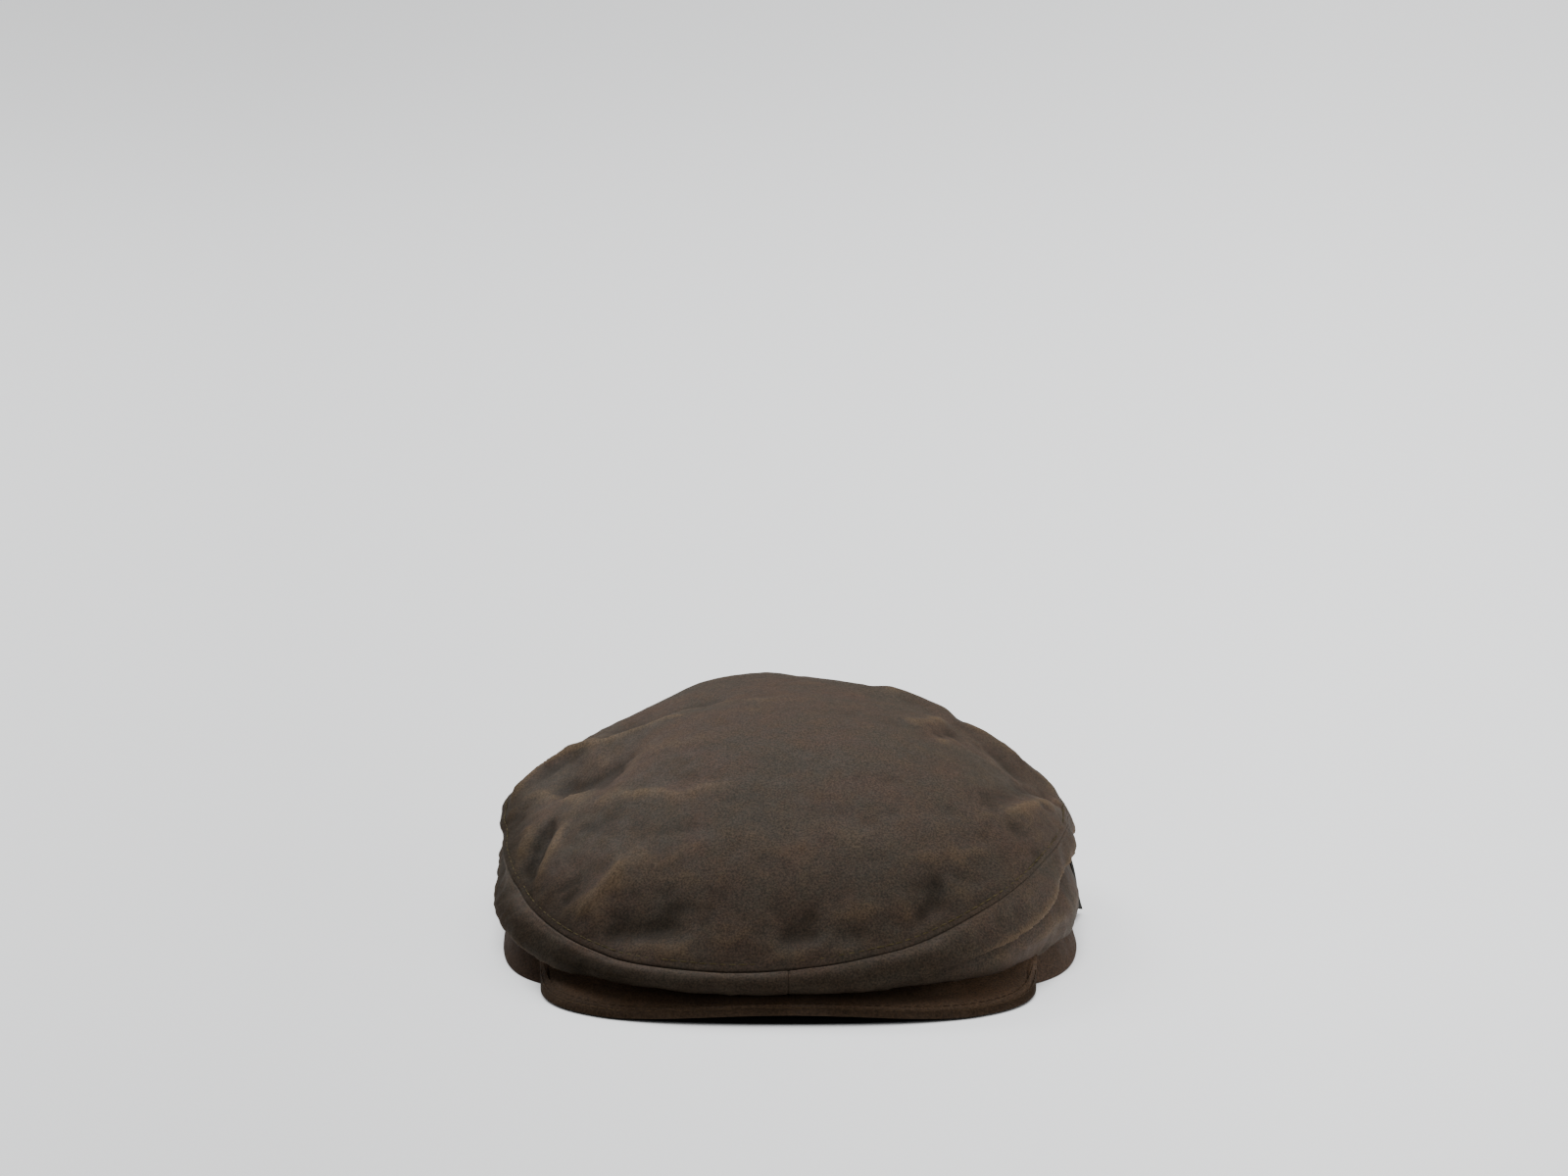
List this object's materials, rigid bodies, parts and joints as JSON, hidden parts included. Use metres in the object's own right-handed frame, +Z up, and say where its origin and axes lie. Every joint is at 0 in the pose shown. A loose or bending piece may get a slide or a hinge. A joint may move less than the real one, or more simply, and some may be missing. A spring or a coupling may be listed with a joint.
{
  "type": "waxed flat cap",
  "caption": "Low flat cap of waxed cotton: a sloping top panel, two side panels that roll over a short stitched peak, and a head band round an open hollow.",
  "frame": {"origin": "on the floor, under the middle of the whole cap", "axes": "+Z up, the peak towards -Y, the wearer's left side towards +X"},
  "size_m": [0.2072, 0.2388, 0.0821],
  "materials": {
    "waxed_cotton": "dark olive brown waxed cotton, dull with a soft sheen on the creases",
    "band_cotton": "dark brown waxed cotton, folded and pressed",
    "peak_cotton": "dark brown waxed cotton over a board, stitched twice along the edge",
    "dark_ribbon": "near black woven ribbon, plain"
  },
  "bodies": {
    "root": {"top_panel": "waxed_cotton", "side_panel_left": "waxed_cotton", "side_panel_right": "waxed_cotton", "headband": "band_cotton", "peak": "peak_cotton", "side_tab": "dark_ribbon"}
  },
  "joints": []
}
